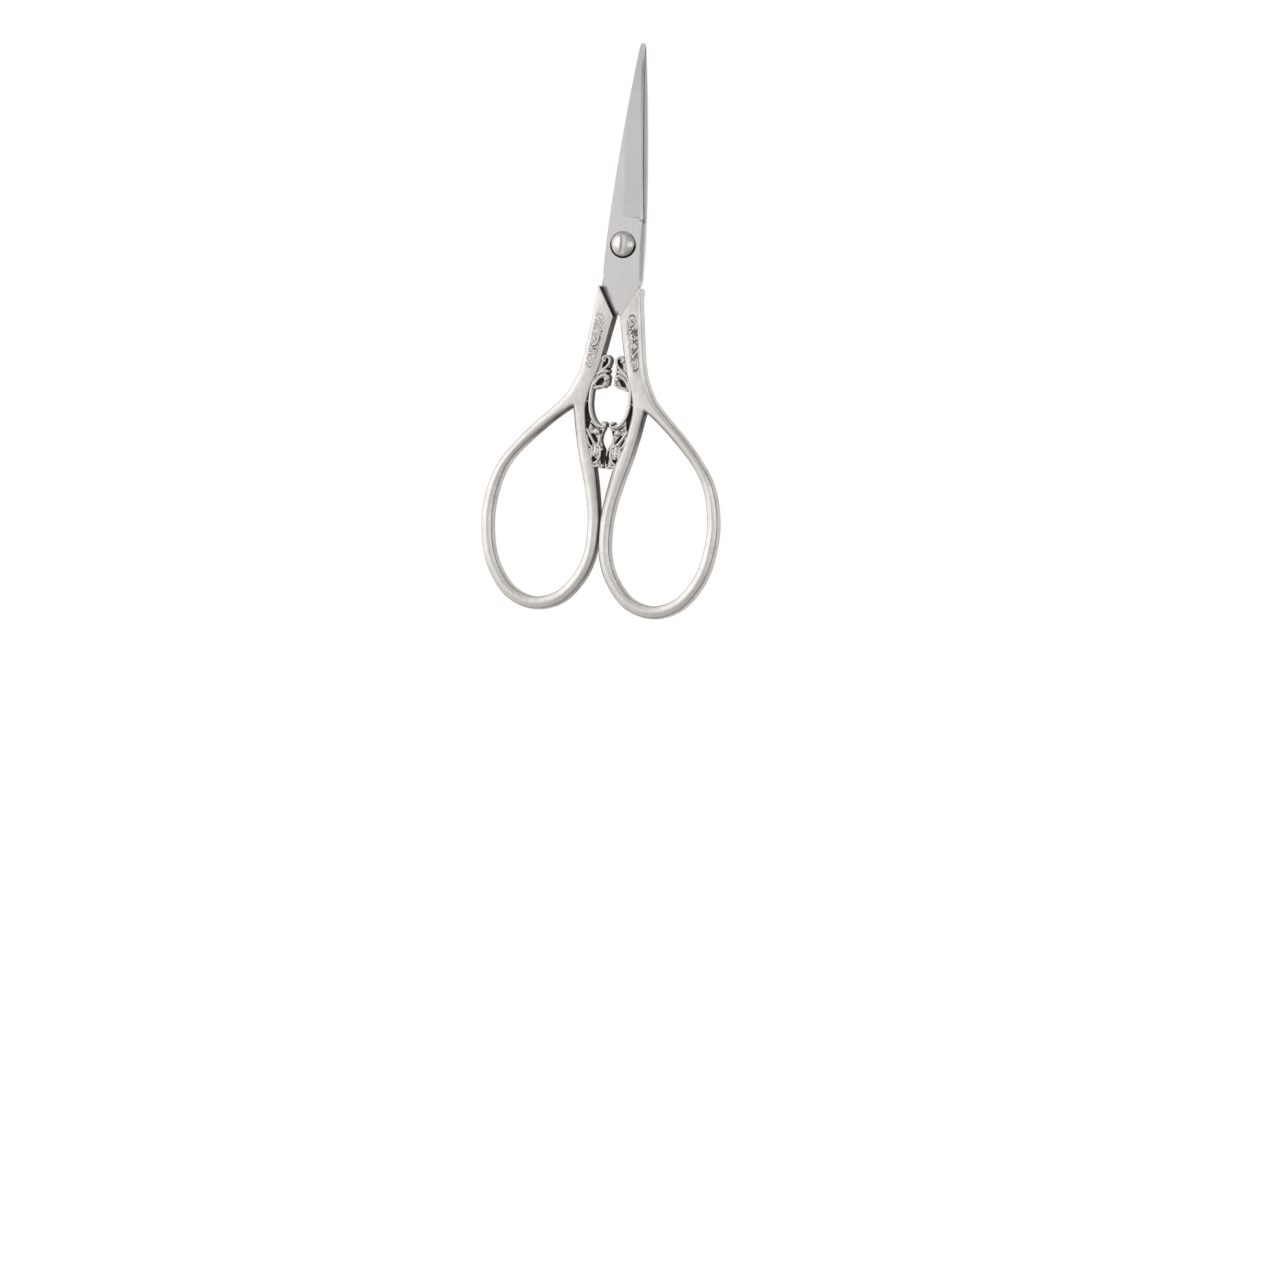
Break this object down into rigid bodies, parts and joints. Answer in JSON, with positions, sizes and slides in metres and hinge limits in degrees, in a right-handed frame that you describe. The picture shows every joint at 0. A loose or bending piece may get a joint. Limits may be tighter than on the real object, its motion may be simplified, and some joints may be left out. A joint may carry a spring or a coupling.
{
  "type": "embroidery scissors",
  "caption": "Small embroidery scissors: slim pointed steel blades on a pivot screw, with cast teardrop finger bows joined by pierced scrollwork.",
  "frame": {"origin": "on the pivot axis, at the flat tail of the pivot screw, level with the undersides of both handles", "axes": "+Y along the closed blades towards the tip, +Z along the pivot axis towards the screw head, +X towards the front half's finger bow"},
  "size_m": [0.0496, 0.1147, 0.0037],
  "materials": {
    "blade_steel": "satin, brushed along the flat and across the ground bevel",
    "handle_casting": "satin nickel plate on a zinc casting, darkened in the recesses of the scrollwork",
    "screw_metal": "polished nickel plate"
  },
  "bodies": {
    "rear_half": {"rear_blade": "blade_steel", "rear_handle": "handle_casting", "pivot_screw": "screw_metal"},
    "front_half": {"front_blade": "blade_steel", "front_handle": "handle_casting"}
  },
  "joints": [
    {"name": "scissor_pivot", "type": "hinge", "parent": "rear_half", "child": "front_half", "pos_m": [0, 0, 0], "axis": [0, 0, 1], "range_deg": [0, 125]}
  ]
}
